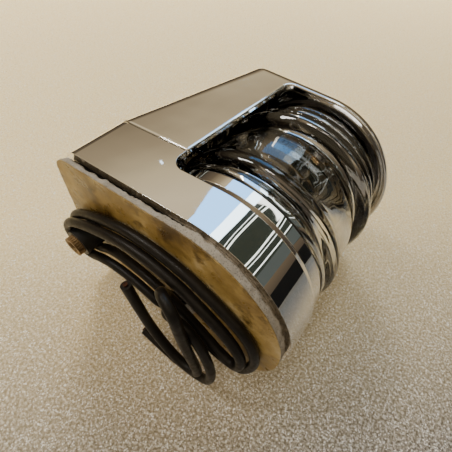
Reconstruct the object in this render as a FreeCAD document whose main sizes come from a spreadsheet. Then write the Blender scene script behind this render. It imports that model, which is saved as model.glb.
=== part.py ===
import FreeCAD, Part
import math
import os
import Sketcher
from FreeCAD import Placement, Rotation, Vector

# A deck-mounted masthead light. Millimetres, +Z up, +X forward over the bow. The origin is on the deck,
# on the axis of the round front of the base and of the lens.

doc = FreeCAD.newDocument("masthead_light")
sheet = doc.addObject("Spreadsheet::Sheet", "dims")


class Size:
    """A number together with the spreadsheet expression that gives it."""

    def __init__(self, text, number):
        self.text = text
        self.number = float(number)

    def __add__(self, other):
        other = as_size(other)
        return Size(f"({self.text} + {other.text})", self.number + other.number)

    def __radd__(self, other):
        return as_size(other) + self

    def __sub__(self, other):
        other = as_size(other)
        return Size(f"({self.text} - {other.text})", self.number - other.number)

    def __rsub__(self, other):
        return as_size(other) - self

    def __mul__(self, factor):
        return Size(f"({self.text} * {factor})", self.number * factor)

    __rmul__ = __mul__

    def __neg__(self):
        return self * -1


def as_size(value):
    return value if isinstance(value, Size) else Size(f"({value})", value)


sheet_rows = []


def dim(alias, number):
    """Write one driving dimension into the sheet and return it as a Size."""
    row = len(sheet_rows) + 1
    sheet_rows.append(alias)
    sheet.set(f"A{row}", alias)
    sheet.set(f"B{row}", str(number))
    sheet.setAlias(f"B{row}", alias)
    return Size(f"dims.{alias}", number)


# Footprint and heights
front_radius = dim("front_radius", 31)
back_reach = dim("back_reach", 48.5)
back_half_width = dim("back_half_width", 26.8)
back_corner = dim("back_corner_radius", 6)
top_reach = dim("top_back_reach", 33.6)
top_half_width = dim("top_half_width", 30.8)
top_corner = dim("top_corner_radius", 7)
foam_thickness = dim("foam_thickness", 3.2)
liner_thickness = dim("liner_thickness", 0.3)
gasket_inset = dim("gasket_inset", 0.4)
gasket_shift = dim("gasket_shift", 0.5)
rim_height = dim("rim_height", 15.7)
parting_height = dim("parting_height", 22.5)
parting_gap = dim("parting_gap", 0.5)
cap_rim_height = dim("cap_rim_height", 71.4)
cap_height = dim("cap_height", 77.5)
cap_edge = dim("cap_edge_radius", 5.2)
base_wall = dim("base_wall", 2.5)
hood_wall = dim("hood_wall", 2.2)
# Window in the hood and the step in the base below it
window_foot = dim("window_foot", 20)
window_head = dim("window_head", 15.8)
window_corner = dim("window_corner_radius", 3)
step_corner = dim("step_corner_radius", 4.5)
# Collar and lens
deck_opening = dim("deck_opening_radius", 21.6)
collar_radius = dim("collar_radius", 29.8)
collar_top = dim("collar_top", 22.6)
lens_bottom = dim("lens_bottom", 23.6)
lens_top = dim("lens_top", 72.2)
lens_radius = dim("lens_radius", 30.6)
lens_bore = dim("lens_bore_radius", 24.2)
# Lamp carrier
floor_thickness = dim("carrier_floor_thickness", 3)
boss_x = dim("boss_x", 39.2)
boss_radius = dim("boss_radius", 4.5)
boss_drop = dim("boss_drop", 7.5)
insert_drop = dim("insert_drop", 9.5)
insert_radius = dim("insert_radius", 3.4)
insert_length = dim("insert_length", 12)
thread_radius = dim("thread_radius", 2.1)
thread_depth = dim("thread_depth", 9)
wire_hole_x = dim("wire_hole_x", 3)
wire_hole_y = dim("wire_hole_y", 7)
wire_hole_radius = dim("wire_hole_radius", 4.8)
bracket_x = dim("bracket_x", 14)
bracket_half_width = dim("bracket_half_width", 13)
bracket_thickness = dim("bracket_thickness", 2.4)
# Lamp
lamp_bottom = dim("lamp_bottom", 33)
lamp_length = dim("lamp_length", 34)
lamp_radius = dim("lamp_radius", 5.2)
cap_radius = dim("lamp_cap_radius", 3.6)
strip_y = dim("contact_strip_y", 9.6)
strip_width = dim("contact_strip_width", 4.4)
strip_thickness = dim("contact_strip_thickness", 0.8)
# Wires and screws
wire_diameter = dim("wire_diameter", 3)
wire_rise_x = dim("wire_rise_x", 2.2)
wire_spread = dim("wire_spread", 1.75)
wire_core = dim("wire_core_radius", 0.65)
low_tab_z = dim("low_tab_height", 11.4)
high_tab_z = dim("high_tab_height", 14)
screw_y = dim("hood_screw_y", 14)
screw_z = dim("hood_screw_z", 17)
screw_radius = dim("hood_screw_radius", 1.25)
screw_hole = dim("hood_screw_hole_radius", 1.8)
doc.recompute()

base_bottom = foam_thickness + liner_thickness
carrier_top = base_bottom + floor_thickness
hood_foot = parting_height + parting_gap
hood_ceiling = cap_rim_height + 2.4
post_face = base_wall - back_reach + 2.4
TINY = 0.01

nodes = {}


def finish_node(label, obj):
    """Register an object as one sub-part of the light."""
    obj.Label = label
    nodes[label] = obj
    return obj


# ---------------------------------------------------------------- sketch helpers

PLANES = {"XY": "XY_Plane", "XZ": "XZ_Plane", "YZ": "YZ_Plane"}


def new_body(label):
    return finish_node(label, doc.addObject("PartDesign::Body", label))


def new_sketch(body, plane, offset=None):
    """Add a sketch on one of the body's origin planes, offset along the plane's normal."""
    sketch = body.newObject("Sketcher::SketchObject", f"{body.Name}_sketch")
    role = PLANES[plane]
    support = [f for f in body.Origin.OriginFeatures if f.Role == role][0]
    sketch.AttachmentSupport = [(support, "")]
    sketch.MapMode = "FlatFace"
    if offset is not None:
        sketch.setExpression("AttachmentOffset.Base.z", as_size(offset).text)
        sketch.AttachmentOffset = Placement(Vector(0, 0, as_size(offset).number), Rotation())
    return sketch


def constrain(sketch, kind, size, *where):
    """Add a dimension and bind it to its expression."""
    index = sketch.addConstraint(Sketcher.Constraint(kind, *where, size.number))
    sketch.setExpression(f"Constraints[{index}]", size.text)


def pin_point(sketch, edge, end, across, up):
    """Fix a sketch point at two sizes measured from the sketch's origin."""
    for kind, value in (("DistanceX", across), ("DistanceY", up)):
        size = as_size(value)
        if abs(size.number) < TINY:
            axis = -2 if kind == "DistanceX" else -1
            sketch.addConstraint(Sketcher.Constraint("PointOnObject", edge, end, axis))
        else:
            constrain(sketch, kind, size, -1, 1, edge, end)


def polygon(sketch, points):
    """Draw a closed polygon whose corners are pairs of sizes."""
    numbers = [Vector(as_size(a).number, as_size(b).number, 0) for a, b in points]
    count = len(points)
    edges = [sketch.addGeometry(Part.LineSegment(numbers[i], numbers[(i + 1) % count])) for i in range(count)]
    for i, edge in enumerate(edges):
        sketch.addConstraint(Sketcher.Constraint("Coincident", edge, 2, edges[(i + 1) % count], 1))
        pin_point(sketch, edge, 1, *points[i])


def circle(sketch, across, up, radius):
    """Draw a circle at a pair of sizes."""
    centre = Vector(as_size(across).number, as_size(up).number, 0)
    index = sketch.addGeometry(Part.Circle(centre, Vector(0, 0, 1), as_size(radius).number))
    pin_point(sketch, index, 3, across, up)
    constrain(sketch, "Radius", as_size(radius), index)
    return index


def bullet(sketch, radius, reach, half_width, corner):
    """Draw the footprint: a round front, two flanks that close in slightly and a flat back with round corners."""
    radius, reach, half_width, corner = map(as_size, (radius, reach, half_width, corner))
    corner_x = corner.number - reach.number
    corner_y = half_width.number - corner.number
    lean = math.atan2(corner_y, corner_x)
    lean -= math.acos((radius.number - corner.number) / math.hypot(corner_x, corner_y))
    normal = Vector(math.cos(lean), math.sin(lean), 0)
    mirrored = Vector(normal.x, -normal.y, 0)
    centres = [Vector(corner_x, corner_y, 0), Vector(corner_x, -corner_y, 0)]
    up = Vector(0, 0, 1)
    front = Part.ArcOfCircle(Part.Circle(Vector(), up, radius.number), -lean, lean)
    left = Part.ArcOfCircle(Part.Circle(centres[0], up, corner.number), lean, math.pi)
    right = Part.ArcOfCircle(Part.Circle(centres[1], up, corner.number), math.pi, 2 * math.pi - lean)
    back_x = -reach.number
    shapes = [
        front,
        Part.LineSegment(normal * radius.number, centres[0] + normal * corner.number),
        left,
        Part.LineSegment(Vector(back_x, corner_y, 0), Vector(back_x, -corner_y, 0)),
        right,
        Part.LineSegment(centres[1] + mirrored * corner.number, mirrored * radius.number),
    ]
    g = [sketch.addGeometry(shape) for shape in shapes]
    joins = [(g[0], 2, g[1], 1), (g[1], 2, g[2], 1), (g[2], 2, g[3], 1), (g[3], 2, g[4], 1), (g[4], 2, g[5], 1),
             (g[5], 2, g[0], 1)]
    for join in joins:
        sketch.addConstraint(Sketcher.Constraint("Tangent", *join))
    sketch.addConstraint(Sketcher.Constraint("Coincident", g[0], 3, -1, 1))
    constrain(sketch, "Radius", radius, g[0])
    constrain(sketch, "Radius", corner, g[2])
    sketch.addConstraint(Sketcher.Constraint("Equal", g[2], g[4]))
    pin_point(sketch, g[2], 3, corner - reach, half_width - corner)
    constrain(sketch, "DistanceY", corner - half_width, -1, 1, g[4], 3)


# ---------------------------------------------------------------- feature helpers

def pad(body, sketch, length):
    feature = body.newObject("PartDesign::Pad", f"{body.Name}_pad")
    feature.Profile = sketch
    feature.Length = as_size(length).number
    feature.setExpression("Length", as_size(length).text)
    return feature


def pocket(body, sketch, length, reverse=False, both=False):
    """Cut along the sketch normal's back side, or its front side when reversed."""
    feature = body.newObject("PartDesign::Pocket", f"{body.Name}_pocket")
    feature.Profile = sketch
    feature.Length = as_size(length).number
    feature.setExpression("Length", as_size(length).text)
    feature.Reversed = reverse
    feature.Midplane = both
    return feature


def turn(body, sketch, kind="PartDesign::Revolution"):
    feature = body.newObject(kind, f"{body.Name}_turn")
    feature.Profile = sketch
    feature.ReferenceAxis = (sketch, ["V_Axis"])
    feature.Angle = 360
    return feature


def turned_body(label, points):
    """A body of revolution about Z whose half section has the given (radius, height) corners."""
    body = new_body(label)
    section = new_sketch(body, "XZ")
    polygon(section, points)
    turn(body, section)
    return body


def edges_where(shape, test):
    return [f"Edge{i}" for i, edge in enumerate(shape.Edges, 1) if test(edge)]


def dress(body, kind, size, test):
    """Fillet or chamfer the edges of the body's tip that pass the test."""
    doc.recompute()
    base = body.Tip
    feature = body.newObject(f"PartDesign::{kind}", f"{body.Name}_{kind.lower()}")
    feature.Base = (base, edges_where(base.Shape, test))
    prop = "Radius" if kind == "Fillet" else "Size"
    setattr(feature, prop, as_size(size).number)
    feature.setExpression(prop, as_size(size).text)
    return feature


def at_height(z):
    level = as_size(z).number
    return lambda edge: all(abs(v.Point.z - level) < TINY for v in edge.Vertexes)


def bind(obj, **sizes):
    """Bind Part primitive properties to sizes."""
    for prop, value in sizes.items():
        size = as_size(value)
        setattr(obj, prop, size.number)
        obj.setExpression(prop, size.text)
    return obj


def place(obj, x=0, y=0, z=0, axis=(0, 0, 1), angle=0):
    """Put an object at three sizes, turned about one of the axes."""
    spot = [as_size(v) for v in (x, y, z)]
    obj.Placement = Placement(Vector(*[s.number for s in spot]), Rotation(Vector(*axis), angle))
    for name, size in zip("xyz", spot):
        obj.setExpression(f"Placement.Base.{name}", size.text)
    return obj


def part(kind, name, **sizes):
    return bind(doc.addObject(f"Part::{kind}", name), **sizes)


def rod(name, radius, height, **where):
    return place(part("Cylinder", name, Radius=radius, Height=height), **where)


def block(name, length, width, height, **where):
    return place(part("Box", name, Length=length, Width=width, Height=height), **where)


def cone(name, radius1, radius2, height, **where):
    return place(part("Cone", name, Radius1=radius1, Radius2=radius2, Height=height), **where)


def cut(name, base, *tools):
    for i, tool in enumerate(tools):
        result = doc.addObject("Part::Cut", f"{name}_cut{i}")
        result.Base = base
        result.Tool = tool
        base = result
    return base


def fuse(name, *shapes):
    result = doc.addObject("Part::MultiFuse", f"{name}_fuse")
    result.Shapes = list(shapes)
    return result


def group(label, shapes):
    """Keep identical pieces together in one node as separate solids."""
    result = doc.addObject("Part::Compound", f"{label}_group")
    result.Links = list(shapes)
    return finish_node(label, result)


ALONG_X = {"axis": (0, 1, 0), "angle": 90}


# ---------------------------------------------------------------- base

def carrier_screw_spots():
    """Centres of the four screws that hold the carrier's floor up inside the base."""
    return [(17.5, -18.5), (17.5, 18.5), (-27.0, -21.5), (-27.0, 21.5)]


def screw_circles(sketch, radius):
    for side in (-1, 1):
        circle(sketch, screw_y * side, screw_z, radius)


def oblong(sketch, x0, x1, y0, y1):
    polygon(sketch, [(x0, y0), (x1, y0), (x1, y1), (x0, y1)])


def make_base():
    """Die-cast base: open below, a low deck round the lens and a higher hollow back under the hood."""
    body = new_body("base_housing")
    outer = new_sketch(body, "XY", base_bottom)
    bullet(outer, front_radius, back_reach, back_half_width, back_corner)
    pad(body, outer, parting_height - base_bottom)

    step = new_sketch(body, "XZ")
    oblong(step, -window_foot, front_radius + 5, rim_height, parting_height + 1)
    pocket(body, step, front_radius * 2 + 10, both=True)
    foot_x = -window_foot.number
    rim_z = rim_height.number
    dress(body, "Fillet", step_corner, lambda edge: all(
        abs(v.Point.x - foot_x) < TINY and abs(v.Point.z - rim_z) < TINY for v in edge.Vertexes))
    collar_room = new_sketch(body, "XY", rim_height)
    circle(collar_room, 0, 0, front_radius + 0.2)
    pocket(body, collar_room, parting_height - rim_height + 1, reverse=True)

    room = new_sketch(body, "XY", base_bottom)
    bullet(room, front_radius - base_wall, back_reach - base_wall, back_half_width - base_wall,
           back_corner - base_wall)
    pocket(body, room, rim_height - base_wall - base_bottom, reverse=True)
    opening = new_sketch(body, "XY", base_bottom)
    circle(opening, 0, 0, deck_opening)
    pocket(body, opening, rim_height - base_bottom + 1, reverse=True)
    back_room = new_sketch(body, "XY", parting_height)
    oblong(back_room, base_wall - back_reach, -front_radius - 3.5, -20.5, 20.5)
    pocket(body, back_room, parting_height - base_bottom)

    posts = new_sketch(body, "XY", carrier_top)
    for x, y in carrier_screw_spots():
        circle(posts, x, y, 3.2)
    pad(body, posts, rim_height - base_wall - carrier_top + 0.5)
    bores = new_sketch(body, "XY", carrier_top)
    for x, y in carrier_screw_spots():
        circle(bores, x, y, 1.4)
    pocket(body, bores, 6.5, reverse=True)
    groove = new_sketch(body, "XY", rim_height)
    circle(groove, 0, 0, collar_radius - 3.1)
    circle(groove, 0, 0, collar_radius - 1.9)
    pocket(body, groove, 1.3)
    screw_holes = new_sketch(body, "YZ", -back_reach - 1)
    screw_circles(screw_holes, screw_hole)
    pocket(body, screw_holes, base_wall + 2, reverse=True)
    return body


def make_collar():
    """Polished ring that carries the lens: a spigot in the deck, a lip on it and a plain bevelled wall."""
    r = collar_radius
    floor = rim_height
    return turned_body("lens_collar", [
        (r - 3.4, floor), (r - 3.0, floor), (r - 3.0, floor - 1.2), (r - 2.0, floor - 1.2), (r - 2.0, floor),
        (r + 0.9, floor), (r + 0.5, floor + 1.6), (r - 0.3, floor + 1.7), (r - 0.3, floor + 2.1),
        (r, floor + 2.3), (r, collar_top - 0.7), (r - 0.6, collar_top), (r - 1.2, collar_top),
        (r - 1.2, collar_top - 0.8), (r - 3.4, collar_top - 0.8)])


def make_lower_seal():
    return turned_body("lower_lens_seal", [
        (collar_radius - 3.2, collar_top - 0.8), (collar_radius - 1.3, collar_top - 0.8),
        (collar_radius - 1.3, lens_bottom), (collar_radius - 3.2, lens_bottom)])


# ---------------------------------------------------------------- lens

def make_lens():
    """Clear lens: two prism rings either side of a bulged belt, on a straight bore."""
    r = lens_radius
    z = lens_bottom
    return turned_body("lens", [
        (lens_bore, z), (r - 2.0, z), (r - 1.1, z + 0.6), (r - 0.9, z + 2.0), (r - 2.6, z + 3.6),
        (r - 3.2, z + 4.6), (r - 0.7, z + 5.3), (r + 0.2, z + 6.9), (r + 0.2, z + 9.1), (r - 3.0, z + 11.0),
        (r - 3.1, z + 11.6), (r - 2.3, z + 14.0), (r - 1.7, z + 17.0), (r - 1.5, z + 20.0),
        (r - 1.8, z + 23.0), (r - 2.6, z + 25.8), (r - 3.6, z + 28.0), (r - 3.8, z + 29.4),
        (r - 1.3, z + 30.6), (r + 0.2, z + 32.6), (r + 0.2, z + 33.8), (r - 3.0, z + 36.2),
        (r - 1.3, z + 37.7), (r - 1.1, z + 39.2), (r - 3.3, z + 41.2), (r - 2.1, z + 42.3),
        (r - 2.0, z + 43.6), (r - 3.5, z + 45.2), (r - 3.5, lens_top), (lens_bore, lens_top)])


# ---------------------------------------------------------------- hood

def loft(body, kind, sketches):
    feature = body.newObject(f"PartDesign::{kind}", f"{body.Name}_loft")
    feature.Profile = sketches[0]
    feature.Sections = sketches[1:]
    feature.Ruled = True
    return feature


def hood_foot_section(body, z, inset):
    sketch = new_sketch(body, "XY", z)
    bullet(sketch, front_radius - inset, back_reach - inset, back_half_width - inset, back_corner - inset)
    return sketch


def hood_cap_section(body, inset):
    sketch = new_sketch(body, "XY", cap_height - cap_edge)
    bullet(sketch, front_radius - inset, top_reach - inset, top_half_width - inset, top_corner - inset)
    return sketch


def make_hood():
    """Chrome hood: a hollow spine and cap in one casting, open below, with a window round the lens."""
    body = new_body("hood")
    loft(body, "AdditiveLoft", [hood_foot_section(body, hood_foot, 0), hood_cap_section(body, 0)])
    pad(body, hood_cap_section(body, 0), cap_edge)
    dress(body, "Fillet", cap_edge - 0.1, at_height(cap_height))
    loft(body, "SubtractiveLoft",
         [hood_foot_section(body, hood_foot - TINY, hood_wall), hood_cap_section(body, hood_wall)])
    pocket(body, hood_cap_section(body, hood_wall), hood_ceiling - cap_height + cap_edge, reverse=True)
    window = new_sketch(body, "XZ")
    polygon(window, [(-window_foot, hood_foot - 1), (-window_head, cap_rim_height),
                     (front_radius + 5, cap_rim_height), (front_radius + 5, hood_foot - 1)])
    pocket(body, window, front_radius * 2 + 10, both=True)
    head_x = -window_head.number
    head_z = cap_rim_height.number
    dress(body, "Fillet", window_corner, lambda edge: all(
        abs(v.Point.x - head_x) < TINY and abs(v.Point.z - head_z) < TINY for v in edge.Vertexes))

    tongue = new_sketch(body, "XY", hood_foot - 9)
    inner = base_wall - back_reach + 0.4
    oblong(tongue, inner, inner + 1.6, -18.5, 18.5)
    pad(body, tongue, 16)
    slots = new_sketch(body, "YZ", -back_reach)
    for side in (-1, 1):
        middle = screw_y * side
        oblong(slots, middle - 1.9, middle + 1.9, hood_foot - 10, screw_z + 2)
    pocket(body, slots, base_wall + 6, reverse=True)
    return body


def make_upper_seal():
    """Soft ring glued under the cap, which presses the lens down when the hood is home."""
    rim = lens_radius - 3.6
    return turned_body("upper_lens_seal", [
        (lens_bore, lens_top), (rim, lens_top), (rim, hood_ceiling), (lens_bore, hood_ceiling)])


# ---------------------------------------------------------------- carrier and what it holds

def make_carrier():
    """Black moulding: the base's floor, the boss for the deck screw, two nut posts and the lamp bracket."""
    body = new_body("lamp_carrier")
    floor = new_sketch(body, "XY", base_bottom)
    inset = base_wall + 0.2
    bullet(floor, front_radius - inset, back_reach - inset, back_half_width - inset, back_corner - inset)
    pad(body, floor, floor_thickness)
    boss = new_sketch(body, "XY", -boss_drop)
    circle(boss, -boss_x, 0, boss_radius)
    pad(body, boss, boss_drop + carrier_top)
    bracket = new_sketch(body, "XY", base_bottom + 1)
    oblong(bracket, -bracket_x - bracket_thickness, -bracket_x, -bracket_half_width, bracket_half_width)
    pad(body, bracket, lamp_bottom + lamp_length + 2 - base_bottom)
    posts = new_sketch(body, "XY", base_bottom + 1)
    for side in (-1, 1):
        middle = screw_y * side
        oblong(posts, post_face, post_face + 6.4, middle - 3.8, middle + 3.8)
    pad(body, posts, screw_z + 3.6 - base_bottom - 1)

    seat = new_sketch(body, "XY", -boss_drop)
    circle(seat, -boss_x, 0, insert_radius)
    pocket(body, seat, boss_drop - insert_drop + insert_length, reverse=True)
    hole = new_sketch(body, "XY", base_bottom)
    circle(hole, -wire_hole_x, wire_hole_y, wire_hole_radius)
    pocket(body, hole, floor_thickness, reverse=True)
    shafts = new_sketch(body, "YZ", -back_reach)
    screw_circles(shafts, screw_hole)
    pocket(body, shafts, 14, reverse=True)
    slots = new_sketch(body, "XY", parting_height)
    for side in (-1, 1):
        middle = screw_y * side
        oblong(slots, post_face + 2.2, post_face + 4.4, middle - 2.9, middle + 2.9)
    pocket(body, slots, parting_height - screw_z + 3.3)
    fixings = new_sketch(body, "XY", base_bottom)
    for x, y in carrier_screw_spots():
        circle(fixings, x, y, 1.7)
    pocket(body, fixings, floor_thickness, reverse=True)
    sinks = new_sketch(body, "XY", base_bottom)
    for x, y in carrier_screw_spots():
        circle(sinks, x, y, 3.1)
    pocket(body, sinks, 1.8, reverse=True)
    rivet_holes = new_sketch(body, "YZ", -bracket_x - bracket_thickness - 1)
    for side, height in rivet_spots():
        circle(rivet_holes, strip_y * side, height, 1.3)
    pocket(body, rivet_holes, bracket_thickness + 2, reverse=True)
    return body


def rivet_spots():
    """Side and height of the rivets through the two contact strips."""
    return [(-1, 23), (-1, 30), (1, 23), (1, 60)]


def make_insert():
    """Knurled brass insert in the boss, tapped for the one screw that comes up through the deck."""
    body = new_body("mounting_insert")
    blank = new_sketch(body, "XY", -insert_drop)
    circle(blank, 0, 0, insert_radius)
    pad(body, blank, insert_length)
    tap = new_sketch(body, "XY", -insert_drop)
    circle(tap, 0, 0, thread_radius)
    pocket(body, tap, thread_depth, reverse=True)
    rim = -insert_drop.number
    bore = thread_radius.number + TINY
    dress(body, "Chamfer", 0.35, lambda edge: at_height(rim)(edge) and edge.Curve.Radius < bore)
    flute = new_sketch(body, "XY", -insert_drop)
    polygon(flute, [(insert_radius - 0.3, 0), (insert_radius + 0.3, -0.3), (insert_radius + 0.3, 0.3)])
    notch = pocket(body, flute, insert_drop - boss_drop, reverse=True)
    pattern = body.newObject("PartDesign::PolarPattern", "knurl")
    pattern.Originals = [notch]
    pattern.Axis = (flute, ["N_Axis"])
    pattern.Angle = 360
    pattern.Occurrences = 26
    body.Tip = pattern
    place(body, x=-boss_x)
    return body


def make_grommet():
    """Rubber bush round the wire hole in the floor, with a lip on each side."""
    label = "wire_grommet"
    spot = {"x": -wire_hole_x, "y": wire_hole_y}
    waist = rod(f"{label}_waist", wire_hole_radius - 0.05, floor_thickness, z=base_bottom, **spot)
    upper = rod(f"{label}_upper", wire_hole_radius + 1.4, 1.2, z=carrier_top, **spot)
    bore = rod(f"{label}_bore", wire_hole_radius - 0.9, floor_thickness + 3, z=base_bottom - 1, **spot)
    finish_node(label, cut(label, fuse(label, waist, upper), bore))


def wire_y(side):
    return wire_hole_y + wire_spread * side


def make_contact(label, side, tab_z, shelf_z, tab_edge):
    """A brass strip on the bracket with a shelf for one end of the lamp and a tab for one wire."""
    face = -bracket_x
    edge = strip_y * side - strip_width * 0.5
    far_edge = strip_y * side + strip_width * 0.5
    outer = edge if side < 0 else far_edge
    top = as_size(shelf_z) + strip_thickness
    strip = block(f"{label}_strip", strip_thickness, strip_width, top - tab_z, x=face, y=edge, z=tab_z)
    low, high = (outer, Size("(4)", 4)) if side < 0 else (Size("(-4)", -4), outer)
    shelf = block(f"{label}_shelf", bracket_x + 3.4, high - low, strip_thickness, x=face, y=low, z=shelf_z)
    low, high = (outer, tab_edge) if side < 0 else (tab_edge, outer)
    tab = block(f"{label}_tab", bracket_x + 0.6, high - low, strip_thickness, x=face, y=low, z=tab_z)
    mouth = block(f"{label}_mouth", 8, 4.8, 3, x=-2.4, y=-2.4, z=shelf_z - 1)
    wire_hole = rod(f"{label}_wire_hole", 0.8, 3, x=-wire_rise_x, y=wire_y(side), z=tab_z - 1)
    tools = [mouth, wire_hole]
    for i, (rivet_side, height) in enumerate(rivet_spots()):
        if rivet_side == side:
            tools.append(rod(f"{label}_rivet_hole{i}", 1.3, 3, x=face - 1, y=strip_y * side, z=height, **ALONG_X))
    finish_node(label, cut(label, fuse(label, strip, shelf, tab), *tools))


def make_rivets():
    rivets = []
    back = -bracket_x - bracket_thickness
    for i, (side, height) in enumerate(rivet_spots()):
        spot = {"y": strip_y * side, "z": height, **ALONG_X}
        shank = rod(f"rivet_shank{i}", 1.2, bracket_thickness + strip_thickness, x=back, **spot)
        front = rod(f"rivet_front{i}", 2.1, 0.7, x=strip_thickness - bracket_x, **spot)
        tail = rod(f"rivet_tail{i}", 1.9, 0.6, x=back - 0.6, **spot)
        rivets.append(fuse(f"rivet{i}", shank, front, tail))
    group("contact_rivets", rivets)


# ---------------------------------------------------------------- lamp

def make_lamp():
    """Double-ended tubular lamp standing on the lens axis."""
    top = lamp_bottom + lamp_length
    caps = []
    for name, z, way in (("lamp_cap_low", lamp_bottom, 1), ("lamp_cap_high", top, -1)):
        cap = doc.addObject("PartDesign::Body", name)
        section = new_sketch(cap, "XZ")
        polygon(section, [
            (0, z), (1.0, z), (cap_radius - 0.3, z + 3.0 * way), (cap_radius, z + 3.4 * way),
            (cap_radius, z + 6.6 * way), (cap_radius - 0.3, z + 6.6 * way), (cap_radius - 0.3, z + 3.9 * way),
            (0, z + 3.9 * way)])
        turn(cap, section)
        caps.append(cap)
    group("lamp_caps", caps)
    low = lamp_bottom + 4.2
    high = top - 4.2
    r = lamp_radius
    turned_body("lamp_glass", [
        (2.5, low), (3.1, low), (3.2, low + 2.6), (r - 0.6, low + 3.6), (r, low + 5), (r, high - 5),
        (r - 0.6, high - 3.6), (3.2, high - 2.6), (3.1, high), (2.5, high), (2.5, high - 3),
        (r - 1.2, high - 4.2), (r - 0.7, high - 5.6), (r - 0.7, low + 5.6), (r - 1.2, low + 4.2),
        (2.5, low + 3)])
    wire = rod("filament_wire", 0.2, lamp_length - 7.8, z=lamp_bottom + 3.9)
    coil = rod("filament_coil", 0.6, 11, z=lamp_bottom + lamp_length * 0.5 - 5.5)
    finish_node("lamp_filament", fuse("lamp_filament", wire, coil))


# ---------------------------------------------------------------- gasket, liner and fasteners

def make_sheet_part(label, z, thickness):
    """Gasket or liner: the base's outline with a hole for the boss and one for the wires."""
    body = new_body(label)
    outline = new_sketch(body, "XY", z)
    bullet(outline, front_radius - gasket_inset, back_reach - gasket_inset, back_half_width - gasket_inset,
           back_corner - gasket_inset)
    pad(body, outline, thickness)
    holes = new_sketch(body, "XY", z)
    circle(holes, gasket_shift - boss_x, 0, boss_radius + 0.4)
    circle(holes, gasket_shift - wire_hole_x, wire_hole_y, wire_hole_radius + 0.2)
    pocket(body, holes, thickness, reverse=True)
    place(body, x=-gasket_shift)
    return body


def make_carrier_screws():
    screws = []
    for i, (x, y) in enumerate(carrier_screw_spots()):
        head = rod(f"carrier_screw_head{i}", 2.8, 1.6, x=x, y=y, z=base_bottom + 0.2)
        shank = rod(f"carrier_screw_shank{i}", 1.3, 8.8, x=x, y=y, z=base_bottom + 0.2)
        slots = [block(f"carrier_screw_slot{i}a", 3.2, 0.8, 1.0, x=x - 1.6, y=y - 0.4, z=base_bottom),
                 block(f"carrier_screw_slot{i}b", 0.8, 3.2, 1.0, x=x - 0.4, y=y - 1.6, z=base_bottom)]
        screws.append(cut(f"carrier_screw{i}", fuse(f"carrier_screw{i}", head, shank), *slots))
    group("carrier_screws", screws)


def make_hood_fasteners():
    """One screw, washer and captive nut on each side of the back, through the hood's tongue."""
    nuts = []
    back = -back_reach
    for name, side in (("left", 1), ("right", -1)):
        spot = {"y": screw_y * side, "z": screw_z, **ALONG_X}
        disc = rod(f"washer_{name}_disc", 3.3, 0.6, x=back - 0.6, **spot)
        eye = rod(f"washer_{name}_eye", 1.6, 2, x=back - 1.2, **spot)
        finish_node(f"hood_washer_{name}", cut(f"hood_washer_{name}", disc, eye))
        shank = rod(f"screw_{name}_shank", screw_radius, 12.2, x=back - 0.6, **spot)
        head = rod(f"screw_{name}_head", 2.7, 1.2, x=back - 1.8, **spot)
        crown = cone(f"screw_{name}_crown", 1.9, 2.7, 0.8, x=back - 2.6, **spot)
        y = screw_y * side
        slots = [block(f"screw_{name}_slot0", 1.4, 0.8, 3.2, x=back - 2.8, y=y - 0.4, z=screw_z - 1.6),
                 block(f"screw_{name}_slot1", 1.4, 3.2, 0.8, x=back - 2.8, y=y - 1.6, z=screw_z - 0.4)]
        screw = cut(f"hood_screw_{name}", fuse(f"screw_{name}", shank, head, crown), *slots)
        finish_node(f"hood_screw_{name}", screw)
        hexagon = part("Prism", f"nut_{name}_hexagon", Circumradius=3.17, Height=2.0)
        hexagon.Polygon = 6
        place(hexagon, x=post_face + 2.3, **spot)
        bore = rod(f"nut_{name}_bore", 1.6, 4, x=post_face + 1.3, **spot)
        nuts.append(cut(f"nut_{name}", hexagon, bore))
    group("hood_nuts", nuts)


# ---------------------------------------------------------------- wires

POSITIVE_ROUTE = [
    (-2.2, 5.25, 10), (-2.2, 5.25, -1.9), (-16, 1.4, -1.8), (-30, 1.2, -1.8), (-40.2, 9, -2.1),
    (-46.8, 1.8, -2.6), (-44.4, -7, -2.7), (-33, -13.2, -2), (-18, -18.7, -1.8), (-2, -19, -1.8),
    (11.5, -14, -1.8), (21.8, -6.8, -1.8), (25.4, 3.4, -2.2), (22.4, 13.6, -3.3), (13.2, 11.3, -4.2),
    (4.6, 4.2, -4.2), (-3, 1.4, -4.6), (-1.7, -3.2, -8.4), (5.2, -5.4, -8.3), (10.4, 0.6, -8.2),
    (14.2, 8.6, -8.6), (16.4, 16.5, -9.1), (15.4, 25.8, -9.5), (6.8, 28.9, -9.8), (-3, 28, -10),
    (-12, 24.6, -10)
]
NEGATIVE_ROUTE = [
    (-2.2, 8.75, 12), (-2.2, 8.75, -4.4), (-18.4, 4.4, -4.2), (-31.2, 5, -4.6), (-40.4, 9.6, -5.3),
    (-46.2, 2.2, -5.7), (-44, -6.2, -5.7), (-33, -11.6, -4.9), (-18, -16.8, -4.3), (-3.5, -17, -4.3),
    (8.5, -12, -4.3), (18.4, -4.8, -4.2), (22.4, 2.6, -4.5), (20.7, 9.2, -4.7), (14, 7, -4.5),
    (6.4, 1.2, -4.5), (-3.4, -6, -4.8), (-2.6, -13.6, -7.4), (-0.2, -18.8, -9.5), (4.9, -17.6, -11.1),
    (6.6, -8.6, -11.3), (9, 3.4, -11), (11.4, 14, -10.5), (12.2, 20.2, -10.5), (6.8, 21.6, -10.9),
    (1, 17.8, -11), (-5.4, 8.8, -11), (-9.2, -1.8, -11), (-11.6, -11.3, -11)
]


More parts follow.
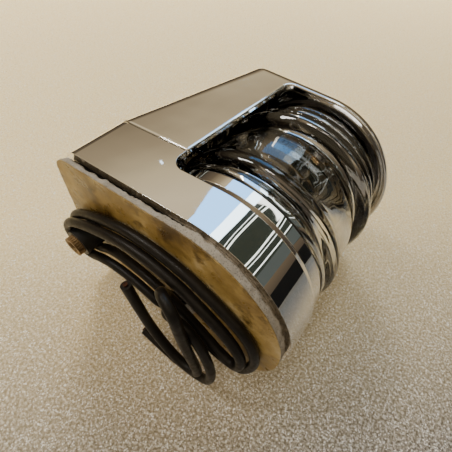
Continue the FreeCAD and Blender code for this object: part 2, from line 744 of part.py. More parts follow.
def bent_path(points):
    """Straight runs through the route's points, each corner rounded by an arc tangent to both runs."""
    points = [Vector(*p) for p in points]
    edges = []
    radii = []
    start = points[0]
    for before, corner, after in zip(points, points[1:], points[2:]):
        back = before - corner
        ahead = after - corner
        half_turn = (math.pi - back.getAngle(ahead)) / 2
        reach = 0.45 * min(back.Length, ahead.Length)
        radius = reach / math.tan(half_turn)
        back.normalize()
        ahead.normalize()
        middle = back + ahead
        middle.normalize()
        entry = corner + back * reach
        leave = corner + ahead * reach
        crown = corner + middle * (radius / math.cos(half_turn) - radius)
        edges.append(Part.makeLine(start, entry))
        edges.append(Part.Arc(entry, crown, leave).toShape())
        radii.append(radius)
        start = leave
    edges.append(Part.makeLine(start, points[-1]))
    return Part.Wire(edges), radii


def make_wire(label, points):
    """A round insulated wire along a route, whose first point lies at a contact's tab."""
    path, radii = bent_path(points)
    radius = wire_diameter.number / 2
    first = Vector(*points[0])
    section = Part.Wire(Part.makeCircle(radius, first, Vector(*points[1]) - first))
    tube = path.makePipeShell([section], True, False)
    expected = math.pi * radius ** 2 * path.Length
    print(f"{label}: length {path.Length:.1f} mm, bend radii {[round(r, 1) for r in radii]}")
    print(f"{label}: volume {tube.Volume:.0f} of {expected:.0f} mm3 expected from section and length")
    feature = doc.addObject("Part::Feature", label)
    feature.Shape = tube
    feature.Placement = Placement()
    finish_node(label, feature)


def make_cores():
    """Bare copper at both ends of each wire: up through the tab, and just proud of the free end."""
    cores = []
    for name, points, tab_z in (("positive", POSITIVE_ROUTE, low_tab_z), ("negative", NEGATIVE_ROUTE, high_tab_z)):
        x, y, top = points[0]
        inner = rod(f"{name}_core_top", wire_core, tab_z + 1.6 - top, x=x, y=y, z=top)
        end = Vector(*points[-1])
        way = end - Vector(*points[-2])
        outer = part("Cylinder", f"{name}_core_end", Radius=wire_core, Height=0.5)
        outer.Placement = Placement(end, Rotation(Vector(0, 0, 1), way))
        cores += [inner, outer]
    group("wire_cores", cores)


make_base()
make_collar()
make_lower_seal()
make_lens()
make_hood()
make_upper_seal()
make_carrier()
make_insert()
make_grommet()
make_contact("lower_contact", -1, low_tab_z, lamp_bottom + 0.4, wire_hole_y - 0.2)
make_contact("upper_contact", 1, high_tab_z, lamp_bottom + lamp_length - 1.2, wire_hole_y + 0.4)
make_rivets()
make_lamp()
make_sheet_part("foam_gasket", liner_thickness, foam_thickness)
make_sheet_part("release_liner", 0, liner_thickness)
make_carrier_screws()
make_hood_fasteners()
make_wire("positive_wire", POSITIVE_ROUTE)
make_wire("negative_wire", NEGATIVE_ROUTE)
make_cores()

doc.recompute()
os.makedirs("parts", exist_ok=True)
for obj in doc.Objects:
    faults = [word for word in obj.State if word in ("Invalid", "Error")]
    if faults:
        print("FAULT", obj.Name, obj.Label, faults)
for label, obj in nodes.items():
    shape = obj.Shape
    state = "ok" if shape.isValid() and shape.Solids else "BAD"
    print(f"{label}: {state}, {len(shape.Solids)} solid(s), {shape.Volume:.1f} mm3, box {shape.BoundBox}")
    shape.exportStep(f"parts/{label}.step")
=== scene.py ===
import math
import bmesh
import bpy
from mathutils import Matrix, Vector, noise


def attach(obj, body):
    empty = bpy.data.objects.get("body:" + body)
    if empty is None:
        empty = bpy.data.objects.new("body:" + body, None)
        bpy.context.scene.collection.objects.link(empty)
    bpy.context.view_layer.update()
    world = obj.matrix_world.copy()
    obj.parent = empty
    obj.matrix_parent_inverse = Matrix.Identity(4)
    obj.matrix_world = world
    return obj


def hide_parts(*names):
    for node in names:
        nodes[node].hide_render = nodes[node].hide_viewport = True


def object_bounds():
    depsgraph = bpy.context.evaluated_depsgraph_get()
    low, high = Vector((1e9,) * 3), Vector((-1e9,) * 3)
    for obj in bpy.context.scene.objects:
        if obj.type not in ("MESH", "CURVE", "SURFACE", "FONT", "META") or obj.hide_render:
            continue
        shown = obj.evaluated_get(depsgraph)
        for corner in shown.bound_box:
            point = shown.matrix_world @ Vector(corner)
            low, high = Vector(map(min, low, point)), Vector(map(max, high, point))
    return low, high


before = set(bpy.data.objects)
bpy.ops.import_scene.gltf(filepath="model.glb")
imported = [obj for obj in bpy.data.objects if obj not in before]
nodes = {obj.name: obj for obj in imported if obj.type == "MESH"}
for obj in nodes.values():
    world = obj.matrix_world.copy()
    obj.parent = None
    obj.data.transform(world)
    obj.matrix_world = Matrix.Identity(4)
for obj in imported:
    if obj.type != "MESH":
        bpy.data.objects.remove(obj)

# The masthead light lies on its left flank on a table and is seen from in front of and below its base.
# Places are in the part's frame. The light's own sizes are in millimetres and become metres where its
# geometry is made. Wire lengths, rounding radii, shader distances and the whole stage are in metres.

MM = 0.001
cad_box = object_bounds()
scene = bpy.context.scene


# ---------------------------------------------------------------- small helpers

def metres(*point):
    return Vector(point) * MM


def add_object(name, data):
    obj = bpy.data.objects.new(name, data)
    scene.collection.objects.link(obj)
    return obj


def mesh_object(name, verts, faces, smooth=True):
    mesh = bpy.data.meshes.new(name)
    mesh.from_pydata([tuple(v) for v in verts], [], faces)
    mesh.update()
    for face in mesh.polygons:
        face.use_smooth = smooth
    return add_object(name, mesh)


def set_stops(ramp, stops):
    """Fill a colour ramp from pairs of position and colour."""
    while len(ramp.elements) < len(stops):
        ramp.elements.new(0.5)
    for element, (at, color) in zip(ramp.elements, stops):
        element.position = at
        element.color = (*color, 1)


class Shader:
    """A material's node tree with short calls for the nodes used here."""

    def __init__(self, name):
        self.material = bpy.data.materials.new(name)
        self.material.use_nodes = True
        self.tree = self.material.node_tree
        self.surface = self.tree.nodes["Principled BSDF"]

    def node(self, kind, **inputs):
        made = self.tree.nodes.new(f"ShaderNode{kind}")
        for key, value in inputs.items():
            made.inputs[key.replace("_", " ")].default_value = value
        return made

    def link(self, out, into):
        self.tree.links.new(out, into)

    def set(self, **inputs):
        for key, value in inputs.items():
            self.surface.inputs[key.replace("_", " ")].default_value = value

    def place(self):
        """Object coordinates, in metres."""
        return self.node("TexCoord").outputs["Object"]

    def noise(self, scale, detail, rough=0.5):
        made = self.node("TexNoise", Scale=scale, Detail=detail, Roughness=rough)
        self.link(self.place(), made.inputs["Vector"])
        return made.outputs["Fac"]

    def ramp(self, factor, stops):
        made = self.node("ValToRGB")
        set_stops(made.color_ramp, stops)
        self.link(factor, made.inputs["Fac"])
        return made.outputs["Color"]

    def span(self, factor, low, high, start=0.0, end=1.0):
        """Map a value between start and end to the range low to high."""
        made = self.node("MapRange")
        for key, value in (("From Min", start), ("From Max", end), ("To Min", low), ("To Max", high)):
            made.inputs[key].default_value = value
        self.link(factor, made.inputs["Value"])
        return made.outputs["Result"]

    def mix(self, factor, first, second):
        """Blend two colours, given as colours or as sockets. A Mix node's colours are its inputs 6 and 7."""
        made = self.node("Mix")
        made.data_type = "RGBA"
        for socket, value in ((made.inputs[6], first), (made.inputs[7], second), (made.inputs[0], factor)):
            if isinstance(value, bpy.types.NodeSocket):
                self.link(value, socket)
            else:
                socket.default_value = (*value, 1) if isinstance(value, tuple) else value
        return made.outputs[2]

    def bump(self, height, strength, distance):
        made = self.node("Bump", Strength=strength, Distance=distance)
        self.link(height, made.inputs["Height"])
        self.link(made.outputs["Normal"], self.surface.inputs["Normal"])

    def color(self, out):
        self.link(out, self.surface.inputs["Base Color"])

    def rough(self, out):
        self.link(out, self.surface.inputs["Roughness"])


def paint(obj, material):
    obj.data.materials.clear()
    obj.data.materials.append(material)
    return obj


# ---------------------------------------------------------------- camera

VIEW_AZIMUTH = 21.01
VIEW_ELEVATION = -31.40
VIEW_ROLL = 44.12
VIEW_DISTANCE = 109.53
VIEW_TARGET = (-7.56, 0, 28.02)
VIEW_LENS = 25.52


def make_camera():
    """Look from ahead, below and close, rolled to the right."""
    azimuth, elevation, roll = (math.radians(a) for a in (VIEW_AZIMUTH, VIEW_ELEVATION, VIEW_ROLL))
    back = Vector((math.sin(azimuth) * math.cos(elevation), -math.cos(azimuth) * math.cos(elevation),
                   math.sin(elevation)))
    level = (-back).cross(Vector((0, 0, 1))).normalized()
    above = level.cross(-back)
    side = level * math.cos(roll) + above * math.sin(roll)
    top = above * math.cos(roll) - level * math.sin(roll)
    data = bpy.data.cameras.new("camera")
    data.sensor_width = 36
    data.lens = VIEW_LENS
    data.clip_start = 0.002
    data.clip_end = 20
    camera = add_object("camera", data)
    spot = metres(*VIEW_TARGET) + back * VIEW_DISTANCE * MM
    camera.matrix_world = Matrix.Translation(spot) @ Matrix((side, top, back)).transposed().to_4x4()
    scene.camera = camera


# ---------------------------------------------------------------- wires

WIRE_DIAMETER = 3.0
POSITIVE_ROUTE = [
    (-2.2, 5.25, 10), (-2.2, 5.25, -1.9), (-16, 1.4, -1.8), (-30, 1.2, -1.8), (-40.2, 9, -2.1),
    (-46.8, 1.8, -2.6), (-44.4, -7, -2.7), (-33, -13.2, -2), (-18, -18.7, -1.8), (-2, -19, -1.8),
    (11.5, -14, -1.8), (21.8, -6.8, -1.8), (25.4, 3.4, -2.2), (22.4, 13.6, -3.3), (13.2, 11.3, -4.2),
    (4.6, 4.2, -4.2), (-3, 1.4, -4.6), (-1.7, -3.2, -8.4), (5.2, -5.4, -8.3), (10.4, 0.6, -8.2),
    (14.2, 8.6, -8.6), (16.4, 16.5, -9.1), (15.4, 25.8, -9.5), (6.8, 28.9, -9.8), (-3, 28, -10),
    (-12, 24.6, -10)
]
NEGATIVE_ROUTE = [
    (-2.2, 8.75, 12), (-2.2, 8.75, -4.4), (-18.4, 4.4, -4.2), (-31.2, 5, -4.6), (-40.4, 9.6, -5.3),
    (-46.2, 2.2, -5.7), (-44, -6.2, -5.7), (-33, -11.6, -4.9), (-18, -16.8, -4.3), (-3.5, -17, -4.3),
    (8.5, -12, -4.3), (18.4, -4.8, -4.2), (22.4, 2.6, -4.5), (20.7, 9.2, -4.7), (14, 7, -4.5),
    (6.4, 1.2, -4.5), (-3.4, -6, -4.8), (-2.6, -13.6, -7.4), (-0.2, -18.8, -9.5), (4.9, -17.6, -11.1),
    (6.6, -8.6, -11.3), (9, 3.4, -11), (11.4, 14, -10.5), (12.2, 20.2, -10.5), (6.8, 21.6, -10.9),
    (1, 17.8, -11), (-5.4, 8.8, -11), (-9.2, -1.8, -11), (-11.6, -11.3, -11)
]


def make_wire(name, node, route, material):
    curve = bpy.data.curves.new(name, "CURVE")
    curve.dimensions = "3D"
    curve.resolution_u = 24
    curve.bevel_depth = WIRE_DIAMETER / 2 * MM
    curve.bevel_resolution = 8
    curve.use_fill_caps = True
    spline = curve.splines.new("NURBS")
    spline.points.add(len(route) - 1)
    for point, spot in zip(spline.points, route):
        point.co = (*metres(*spot), 1)
    spline.order_u = 3
    spline.use_endpoint_u = True
    wire = paint(add_object(name, curve), material)
    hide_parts(node)
    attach(wire, "base")


# ---------------------------------------------------------------- lens

LENS_BORE = 24.2
LENS_TOP = 72.2
LENS_PROFILE = [
    (28.6, 23.6), (29.5, 24.2), (29.7, 25.6), (28.0, 27.2), (27.4, 28.2), (29.9, 28.9), (30.8, 30.5),
    (30.8, 32.7), (27.6, 34.6), (27.5, 35.2), (28.3, 37.6), (28.9, 40.6), (29.1, 43.6), (28.8, 46.6),
    (28.0, 49.4), (27.0, 51.6), (26.8, 53.0), (29.3, 54.2), (30.8, 56.2), (30.8, 57.4), (27.6, 59.8),
    (29.3, 61.3), (29.5, 62.8), (27.3, 64.8), (28.5, 65.9), (28.6, 67.2), (27.1, 68.8)
]
LENS_STEPS = 288
SHARP_ANGLE = 50
RING_EASE = 0.34
EASE_STEPS = 5
NECK_RADIUS = 27.1
NECK_HEIGHT = 3.2
NECK_STEPS = 6


def eased(profile, share):
    """Round each corner of an open profile with a curve that starts a share of the way along its sides."""
    result = [profile[0]]
    for before, corner, after in zip(profile, profile[1:], profile[2:]):
        entry = corner + (before - corner) * share
        leave = corner + (after - corner) * share
        for k in range(EASE_STEPS + 1):
            t = k / EASE_STEPS
            result.append(entry * (1 - t) ** 2 + corner * 2 * t * (1 - t) + leave * t ** 2)
    return result + [profile[-1]]


def lathe(name, outline, steps):
    """A closed outline of radius and height pairs turned about the lens axis."""
    verts = []
    faces = []
    count = len(outline)
    for i in range(steps):
        angle = math.tau * i / steps
        verts += [metres(p[0] * math.cos(angle), p[0] * math.sin(angle), p[1]) for p in outline]
        here, there = i * count, (i + 1) % steps * count
        for j in range(count):
            k = (j + 1) % count
            faces.append((here + j, there + j, there + k, here + k))
    return mesh_object(name, verts, faces)


def make_lens(material):
    """The clear lens with eased ring edges, a plain neck under the cap and a smooth bore."""
    outer = eased([Vector(p) for p in LENS_PROFILE], RING_EASE)
    neck = [Vector((NECK_RADIUS, LENS_TOP - NECK_HEIGHT * k / NECK_STEPS)) for k in range(NECK_STEPS)]
    bore = [Vector((LENS_BORE, LENS_TOP)), Vector((LENS_BORE, LENS_PROFILE[0][1]))]
    outline = bore[1:] + outer + neck[::-1] + bore[:1]
    lens = paint(lathe("lens_clear", outline, LENS_STEPS), material)
    lens.data.set_sharp_from_angle(angle=math.radians(SHARP_ANGLE))
    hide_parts("lens")
    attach(lens, "lens_body")


# ---------------------------------------------------------------- gasket and liner

FRONT_RADIUS = 30.6
BACK_REACH = 48.1
BACK_HALF_WIDTH = 26.4
BACK_CORNER = 5.6
SHEET_SHIFT = -0.5
HOLES = [(-39.2, 0.0, 4.9), (-3.0, 7.0, 5.0)]
EDGE_STEP = 0.4
HOLE_STEPS = 72
LINER_THICKNESS = 0.3
FOAM_TOP = 3.5
FOAM_GAP = 0.02
FOAM_ROWS = 12
LINER_ROWS = 2
WALL_TILT = 0.8
FLANK_FRONT = 4
FLANK_LENGTH = 26
FLANK_SIDE = 15
SHRINK_START = 0.52
SHRINK_SWAY = 0.36
SHRINK_RISE = 0.12
SHRINK_DEPTH = 1.1
FLANK_SHRINK = 1.6
TEAR_LEAST = 0.3
TEAR_MORE = 2.8
PORE_LEAST = 0.10
PORE_MORE = 0.34
LINER_LEAST = 0.05
LINER_MORE = 0.28
LINER_HOLE_INSET = 0.1
NOISE_FALL = 0.9
NOISE_STEP = 2.1
NOISE_OCTAVES = 4


def footprint():
    """Points round the base's outline with the outward direction at each, in millimetres."""
    corner = Vector((BACK_CORNER - BACK_REACH, BACK_HALF_WIDTH - BACK_CORNER))
    lean = math.atan2(corner.y, corner.x) - math.acos((FRONT_RADIUS - BACK_CORNER) / corner.length)
    ring = []

    def arc(centre, radius, first, last):
        count = max(2, int(radius * (last - first) / EDGE_STEP))
        for k in range(count):
            angle = first + (last - first) * k / count
            way = Vector((math.cos(angle), math.sin(angle)))
            ring.append((centre + way * radius, way))

    def run(first, last, way):
        count = int((last - first).length / EDGE_STEP)
        ring.extend((first.lerp(last, k / count), way) for k in range(count))

    upper = Vector((math.cos(lean), math.sin(lean)))
    lower = Vector((upper.x, -upper.y))
    mirror = Vector((corner.x, -corner.y))
    arc(Vector((0, 0)), FRONT_RADIUS, -lean, lean)
    run(upper * FRONT_RADIUS, corner + upper * BACK_CORNER, upper)
    arc(corner, BACK_CORNER, lean, math.pi)
    run(Vector((-BACK_REACH, corner.y)), Vector((-BACK_REACH, -corner.y)), Vector((-1, 0)))
    arc(mirror, BACK_CORNER, math.pi, math.tau - lean)
    run(mirror + lower * BACK_CORNER, lower * FRONT_RADIUS, lower)
    shift = Vector((SHEET_SHIFT, 0))
    return [(point + shift, way) for point, way in ring]


def hole_ring(x, y, radius):
    ring = []
    for k in range(HOLE_STEPS):
        angle = math.tau * k / HOLE_STEPS
        way = Vector((math.cos(angle), math.sin(angle)))
        ring.append((Vector((x, y)) + way * radius, -way))
    return ring


def sheet_piece(name, material, rows, worn):
    """A sheet with the base's outline and two holes.

    worn gives how far a wall point lies inside the outline, and its height, from its place in the outline,
    its share of the sheet's thickness and whether it is on a hole.
    """
    body = bmesh.new()
    rims = {0: [], rows - 1: []}
    for number, ring in enumerate([footprint()] + [hole_ring(*hole) for hole in HOLES]):
        levels = []
        for row in range(rows):
            loop = []
            for point, way in ring:
                inset, height = worn(point, row / (rows - 1), number > 0)
                spot = point - way * inset
                loop.append(body.verts.new(metres(spot.x, spot.y, height)))
            levels.append(loop)
        for low, high in zip(levels, levels[1:]):
            for k in range(len(low)):
                after = (k + 1) % len(low)
                body.faces.new((low[k], low[after], high[after], high[k]))
        for row in rims:
            loop = levels[row]
            rims[row] += [body.edges.get((loop[k], loop[(k + 1) % len(loop)])) for k in range(len(loop))]
    for edges in rims.values():
        bmesh.ops.triangle_fill(body, use_beauty=True, edges=edges)
    bmesh.ops.recalc_face_normals(body, faces=body.faces)
    mesh = bpy.data.meshes.new(name)
    body.to_mesh(mesh)
    body.free()
    for face in mesh.polygons:
        face.use_smooth = abs(face.normal.z) < WALL_TILT
    return paint(add_object(name, mesh), material)


def clamp(value):
    return min(1.0, max(0.0, value))


def ragged(point, scale, seed):
    """Fractal noise from 0 to 1 at a point in the plane of the sheet."""
    place = Vector((point.x * scale, point.y * scale, seed))
    value = noise.fractal(place, NOISE_FALL, NOISE_STEP, NOISE_OCTAVES)
    return clamp(0.5 + 0.6 * value)


def foam_edge(point, share, on_hole):
    """Cut foam: porous all over, and shrunk back under the base along its top, more so on the flanks."""
    height = LINER_THICKNESS + FOAM_GAP + share * (FOAM_TOP - LINER_THICKNESS - 2 * FOAM_GAP)
    pores = PORE_LEAST + PORE_MORE * ragged(point + Vector((0, share * 3)), scale=0.9, seed=share * 2.4)
    if on_hole:
        return 0.5 * pores, height
    flank = clamp((FLANK_FRONT - point.x) / FLANK_LENGTH) * (abs(point.y) > FLANK_SIDE)
    torn = flank * share ** 1.5 * (TEAR_LEAST + TEAR_MORE * ragged(point, scale=0.32, seed=7.0))
    start = SHRINK_START + SHRINK_SWAY * ragged(point, scale=0.42, seed=11.0)
    shrunk = clamp((share - start) / SHRINK_RISE)
    return pores + torn + shrunk * (SHRINK_DEPTH + FLANK_SHRINK * flank), height


def liner_edge(point, share, on_hole):
    """Waxed paper cut a little unevenly."""
    height = share * LINER_THICKNESS
    if on_hole:
        return LINER_HOLE_INSET, height
    return LINER_LEAST + LINER_MORE * ragged(point, scale=0.22, seed=3.0), height


def make_sheets():
    foam = sheet_piece("foam_cut_sheet", foam_material(), FOAM_ROWS, foam_edge)
    liner = sheet_piece("liner_sheet", liner_material(), LINER_ROWS, liner_edge)
    for piece, node, finish in ((foam, "foam_gasket", "grey_foam"), (liner, "release_liner", "brown_liner")):
        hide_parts(node)
        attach(piece, "base")


# ---------------------------------------------------------------- materials

BASE_EDGE = 0.00015
HOOD_EDGE = 0.0013
EDGE_SAMPLES = 16


def chrome_material(name, edge):
    """Polished plate over a casting whose edges are rounded by the given radius in metres."""
    s = Shader(name)
    s.set(Base_Color=(0.86, 0.85, 0.83, 1), Metallic=1.0)
    s.rough(s.span(s.noise(900, 3), 0.015, 0.05, 0.35, 0.75))
    s.bump(s.noise(42, 2), 0.22, 0.0006)
    edges = s.node("Bevel", Radius=edge)
    edges.samples = EDGE_SAMPLES
    s.link(edges.outputs["Normal"], s.tree.nodes["Bump"].inputs["Normal"])
    return s.material


def lens_material():
    s = Shader("clear_lens")
    s.set(Base_Color=(0.84, 0.84, 0.83, 1), Transmission_Weight=1.0, IOR=1.58)
    s.rough(s.span(s.noise(1500, 2), 0.0, 0.02, 0.5, 0.8))
    return s.material


def rubber_material():
    s = Shader("black_rubber")
    s.color(s.ramp(s.noise(500, 5), [(0.35, (0.010, 0.009, 0.008)), (0.75, (0.03, 0.027, 0.024))]))
    s.rough(s.span(s.noise(900, 4), 0.38, 0.6, 0.3, 0.7))
    s.bump(s.noise(2500, 3), 0.12, 0.0001)
    return s.material


def wire_material():
    s = Shader("wire_sleeve")
    s.color(s.ramp(s.noise(220, 6, 0.6), [(0.40, (0.007, 0.006, 0.005)), (0.68, (0.012, 0.010, 0.009)),
                                          (0.84, (0.05, 0.044, 0.036))]))
    s.set(Specular_IOR_Level=0.24)
    s.rough(s.span(s.noise(700, 4), 0.28, 0.5, 0.3, 0.7))
    s.bump(s.noise(1600, 4), 0.15, 0.00015)
    return s.material


def plastic_material():
    s = Shader("black_plastic")
    s.color(s.ramp(s.noise(400, 4), [(0.3, (0.008, 0.008, 0.008)), (0.8, (0.02, 0.02, 0.019))]))
    s.rough(s.span(s.noise(1200, 3), 0.32, 0.5, 0.3, 0.7))
    s.bump(s.noise(3500, 2), 0.2, 0.00008)
    return s.material


def brass_material(name, dull):
    s = Shader(name)
    s.set(Metallic=1.0)
    s.color(s.ramp(s.noise(600, 5), [(0.3, (0.42 - dull, 0.28 - dull * 0.7, 0.13 - dull * 0.3)),
                                     (0.75, (0.72 - dull, 0.52 - dull * 0.7, 0.27 - dull * 0.3))]))
    s.rough(s.span(s.noise(1500, 3), 0.22 + dull, 0.4 + dull, 0.3, 0.7))
    s.bump(s.noise(2500, 3), 0.1, 0.0001)
    return s.material


def copper_material():
    s = Shader("bare_copper")
    s.set(Metallic=1.0)
    s.color(s.ramp(s.noise(900, 4), [(0.3, (0.05, 0.024, 0.016)), (0.75, (0.12, 0.055, 0.035))]))
    s.rough(s.span(s.noise(1500, 3), 0.35, 0.6, 0.3, 0.7))
    return s.material


def steel_material():
    s = Shader("stainless_steel")
    s.set(Base_Color=(0.66, 0.66, 0.67, 1), Metallic=1.0)
    s.rough(s.span(s.noise(1200, 3), 0.2, 0.38, 0.3, 0.7))
    s.bump(s.noise(3000, 2), 0.08, 0.00005)
    return s.material


def foam_material():
    s = Shader("grey_foam")
    cells = s.node("TexVoronoi", Scale=2100.0)
    s.link(s.place(), cells.inputs["Vector"])
    # The dark pore spots are painted shade in the pores' hollows, mixed half and half with the foam's tone.
    pores = s.ramp(cells.outputs["Distance"], [(0.17, (0.02, 0.016, 0.012)), (0.38, (0.34, 0.295, 0.235))])
    tint = s.ramp(s.noise(260, 5, 0.7), [(0.32, (0.20, 0.17, 0.13)), (0.52, (0.34, 0.295, 0.235)),
                                         (0.7, (0.44, 0.39, 0.32))])
    s.color(s.mix(0.5, tint, pores))
    s.set(Roughness=0.95)
    s.bump(cells.outputs["Distance"], 0.4, 0.0002)
    return s.material


def liner_material():
    """Old waxed paper: golden brown, darker where the glue has soaked in, with pale bare patches."""
    s = Shader("brown_liner")
    base = s.ramp(s.noise(42, 7, 0.62), [(0.37, (0.07, 0.038, 0.008)), (0.46, (0.22, 0.135, 0.034)),
                                         (0.55, (0.38, 0.255, 0.080)), (0.68, (0.60, 0.49, 0.29))])
    stain = s.ramp(s.noise(75, 6, 0.72), [(0.53, (0, 0, 0)), (0.64, (1, 1, 1))])
    s.color(s.mix(stain, base, (0.060, 0.032, 0.008)))
    s.rough(s.span(s.noise(160, 5), 0.20, 0.5, 0.3, 0.7))
    s.bump(s.noise(70, 4), 0.5, 0.0012)
    return s.material


def glass_material():
    s = Shader("lamp_glass")
    s.set(Base_Color=(0.97, 0.97, 0.95, 1), Transmission_Weight=1.0, IOR=1.46)
    s.rough(s.span(s.noise(500, 2), 0.0, 0.05, 0.4, 0.8))
    return s.material


# ---------------------------------------------------------------- stage

TABLE_GAP = 0.0003
TABLE_REACH = 1.2


def make_table():
    """The table top that the light lies on. From behind it is clear, so that the light's far side shows."""
    level = cad_box[1].y + TABLE_GAP
    corners = [(-TABLE_REACH, -TABLE_REACH), (TABLE_REACH, -TABLE_REACH), (TABLE_REACH, TABLE_REACH),
               (-TABLE_REACH, TABLE_REACH)]
    table = mesh_object("table_top", [(x, level, z) for x, z in corners], [(0, 1, 2, 3)], smooth=False)
    s = Shader("table_top")
    speckle_and_painted_light(s)
    clear_behind(s)
    paint(table, s.material)


def speckle_and_painted_light(s):
    """Speckled laminate with painted light: lit warm and pale towards -X and +Z, in painted shadow dimmer
    the other way, in painted shade bluish far towards +X, with painted glints.
    """
    grain = s.noise(1150, 3, 0.6)
    cross = s.node("SeparateXYZ")
    s.link(s.place(), cross.inputs[0])
    across = s.node("Math")
    across.operation = "ADD"
    s.link(cross.outputs["X"], across.inputs[0])
    s.link(s.span(cross.outputs["Z"], -0.2, 0.2, 0.2, -0.2), across.inputs[1])
    # The first ramp is the laminate painted as lit by the lamp, the second the same laminate painted in
    # shadow.
    pale = s.ramp(grain, [(0.32, (0.79, 0.61, 0.31)), (0.52, (0.95, 0.76, 0.41)), (0.72, (1.0, 0.88, 0.56))])
    painted_shade_tone = s.ramp(grain, [(0.38, (0.08, 0.068, 0.054)), (0.51, (0.26, 0.228, 0.19)),
                         (0.64, (0.62, 0.58, 0.53))])
    # Painted glints: near-white spots mixed into the laminate's colour.
    painted_glint = s.ramp(s.noise(1900, 2), [(0.60, (0, 0, 0)), (0.67, (1, 1, 1))])
    # Painted light and shadow blend across the table by position, then fade into a painted bluish shade far
    # towards +X.
    painted_light_and_shade = s.mix(s.span(across.outputs[0], 0.0, 1.0, -0.08, 0.07), pale, painted_shade_tone)
    painted_far_shade = s.mix(s.span(cross.outputs["X"], 0.0, 1.0, 0.09, 0.28), painted_light_and_shade, (0.15, 0.17, 0.19))
    s.color(s.mix(painted_glint, painted_far_shade, (1.0, 0.98, 0.93)))
    s.rough(s.span(s.noise(900, 4), 0.22, 0.7, 0.35, 0.65))
    s.bump(grain, 0.9, 0.0009)


def clear_behind(s):
    """Make a surface invisible from its back."""
    output = s.tree.nodes["Material Output"]
    clear = s.node("BsdfTransparent")
    side = s.node("NewGeometry")
    choose = s.node("MixShader")
    s.link(side.outputs["Backfacing"], choose.inputs[0])
    s.link(s.surface.outputs[0], choose.inputs[1])
    s.link(clear.outputs[0], choose.inputs[2])
    s.link(choose.outputs[0], output.inputs["Surface"])


MIDDLE = Vector((0, 0, 0.03))


def away(way, distance):
    """A place at a distance from the middle of the light, in a direction."""
    return MIDDLE + Vector(way).normalized() * distance


def add_area(name, spot, size, power, color):
    """A soft lamp aimed at the light, which the chrome doesn't mirror."""
    data = bpy.data.lights.new(name, "AREA")
    data.shape = "SQUARE"
    data.size = size
    data.energy = power
    data.color = color
    lamp = add_object(name, data)
    lamp.location = spot
    lamp.rotation_mode = "QUATERNION"
    lamp.rotation_quaternion = (MIDDLE - spot).to_track_quat("-Z", "Y")
    lamp.visible_glossy = False


def make_board(name, verts, faces, spot, color, strength):
    """A glowing flat shape beside the light, upright and facing it, seen only in its reflections."""
    board = mesh_object(name, verts, faces, smooth=False)
    s = Shader(name)
    s.set(Base_Color=(0, 0, 0, 1), Emission_Color=(*color, 1), Emission_Strength=strength, Roughness=1.0)
    back = (MIDDLE - spot).normalized()
    across = Vector((0, 0, 1)).cross(back).normalized()
    board.rotation_mode = "QUATERNION"
    board.rotation_quaternion = Matrix((across, back.cross(across), back)).transposed().to_quaternion()
    board.location = spot
    board.visible_camera = False
    paint(board, s.material)


def make_card(name, spot, size, color, strength):
    wide, tall = size[0] / 2, size[1] / 2
    verts = [(-wide, -tall, 0), (wide, -tall, 0), (wide, tall, 0), (-wide, tall, 0)]
    make_board(name, verts, [(0, 1, 2, 3)], spot, color, strength)


ARCH_STEPS = 48
ARCH_START = -0.15
ARCH_SWEEP = 1.3


def make_arch(name, spot, radius, width, color, strength):
    """A thin glowing arch, a little more than a half ring, like the frame of a rounded window."""
    verts = []
    for k in range(ARCH_STEPS + 1):
        angle = math.pi * (k / ARCH_STEPS * ARCH_SWEEP + ARCH_START)
        for reach in (radius, radius + width):
            verts.append((reach * math.cos(angle), reach * math.sin(angle), 0))
    faces = [(2 * k, 2 * k + 1, 2 * k + 3, 2 * k + 2) for k in range(ARCH_STEPS)]
    make_board(name, verts, faces, spot, color, strength)


WALL_END = 0.4
CEILING_END = -1.0
ROOM_STOPS = [
    (0.0, (0.04, 0.035, 0.03)), (0.40, (0.07, 0.055, 0.04)), (0.543, (0.16, 0.118, 0.074)),
    (0.643, (0.41, 0.32, 0.195)), (0.693, (0.70, 0.57, 0.35)), (0.745, (0.85, 0.70, 0.46)),
    (0.86, (0.74, 0.60, 0.39)), (1.0, (0.60, 0.48, 0.31))
]


def make_world():
    """The room that the chrome mirrors: a tan ceiling towards -Y and darker walls."""
    world = bpy.data.worlds.new("studio")
    scene.world = world
    world.use_nodes = True
    tree = world.node_tree
    where = tree.nodes.new("ShaderNodeTexCoord")
    split = tree.nodes.new("ShaderNodeSeparateXYZ")
    ramp = tree.nodes.new("ShaderNodeValToRGB")
    spread = tree.nodes.new("ShaderNodeMapRange")
    spread.inputs["From Min"].default_value = WALL_END
    spread.inputs["From Max"].default_value = CEILING_END
    set_stops(ramp.color_ramp, ROOM_STOPS)
    tree.links.new(where.outputs["Generated"], split.inputs[0])
    tree.links.new(split.outputs["Y"], spread.inputs["Value"])
    tree.links.new(spread.outputs["Result"], ramp.inputs["Fac"])
    tree.links.new(ramp.outputs["Color"], tree.nodes["Background"].inputs["Color"])


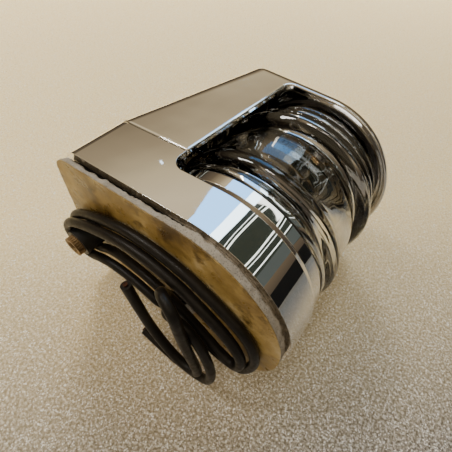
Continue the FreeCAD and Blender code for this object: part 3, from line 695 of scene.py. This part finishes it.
WINDOW_WHITE = (0.95, 1.0, 0.95)
LAMP_WHITE = (1.0, 0.96, 0.90)
CARDS = [
    ("window", (-0.28, -0.79, 0.54), 0.80, (0.47, 0.34), (0.25, 0.55, 1.0), 3.2),
    ("window_glare", (-0.07, -0.84, 0.54), 0.78, (0.14, 0.30), (0.70, 0.88, 1.0), 5.0),
    ("green_wall", (0.42, -0.74, 0.54), 0.84, (0.90, 0.80), (0.036, 0.044, 0.032), 1.0),
    ("lintel", (0.20, -0.76, 0.62), 0.80, (0.40, 0.035), (0.95, 0.97, 0.90), 3.0),
    ("strip_lamp", (0.62, -0.57, 0.55), 0.80, (0.014, 0.42), WINDOW_WHITE, 3.0),
    ("grey_panel", (0.72, -0.46, 0.55), 0.82, (0.16, 0.60), (0.10, 0.115, 0.105), 1.0),
    ("dark_board", (0.87, -0.12, 0.50), 0.60, (0.16, 0.5), (0.004, 0.004, 0.004), 1.0),
    ("tube_lamp", (-0.62, -0.80, -0.20), 1.5, (0.42, 0.12), LAMP_WHITE, 30.0),
    ("tube_lamp_far", (-0.15, -0.97, -0.25), 1.5, (0.30, 0.07), LAMP_WHITE, 30.0),
    ("ceiling_spot", (-0.68, -0.56, 0.48), 1.2, (0.018, 0.011), (0.7, 0.85, 1.0), 3.0),
]
ARCH_WAY = (0.34, -0.78, 0.48)
ARCHES = [
    ("arch", 0.80, 0.15, 0.020, (0.95, 1.0, 0.92), 3.0),
    ("arch_outer", 0.79, 0.20, 0.009, WINDOW_WHITE, 3.0),
]


def make_lights():
    """Two lamps, and the boards that stand for what the room would show in the chrome.

    A card's row holds its name, direction, distance, size, colour and strength. An arch's row holds its
    name, distance, inner radius, width, colour and strength.
    """
    make_world()
    add_area("overhead", away((-0.45, -0.72, 0.58), 1.3), size=0.42, power=42, color=(1.0, 0.91, 0.76))
    add_area("fill", away((0.1, -0.62, -0.78), 1.2), size=0.7, power=4.5, color=(1.0, 0.97, 0.93))
    for name, way, distance, size, color, strength in CARDS:
        make_card(name, away(way, distance), size, color, strength)
    for name, distance, radius, width, color, strength in ARCHES:
        make_arch(name, away(ARCH_WAY, distance), radius, width, color, strength)


# ---------------------------------------------------------------- build

def paint_cad_nodes():
    """Give every CAD node that no piece replaces its material."""
    looks = [
        (chrome_material("chrome_base", BASE_EDGE), ["base_housing", "lens_collar"]),
        (chrome_material("chrome_hood", HOOD_EDGE), ["hood"]),
        (rubber_material(), ["lower_lens_seal", "upper_lens_seal", "wire_grommet"]),
        (plastic_material(), ["lamp_carrier"]),
        (brass_material("knurled_brass", 0.24), ["mounting_insert"]),
        (brass_material("contact_brass", 0.0), ["lower_contact", "upper_contact", "contact_rivets"]),
        (glass_material(), ["lamp_glass"]),
        (copper_material(), ["wire_cores"]),
        (steel_material(), ["lamp_caps", "lamp_filament", "carrier_screws", "hood_washer_left", "hood_nuts",
                            "hood_screw_left", "hood_washer_right", "hood_screw_right"]),
    ]
    for material, names in looks:
        for name in names:
            paint(nodes[name], material)


make_camera()
sleeve = wire_material()
make_wire("positive_wire_cord", "positive_wire", POSITIVE_ROUTE, sleeve)
make_wire("negative_wire_cord", "negative_wire", NEGATIVE_ROUTE, sleeve)
make_lens(lens_material())
make_sheets()
make_table()
make_lights()
paint_cad_nodes()
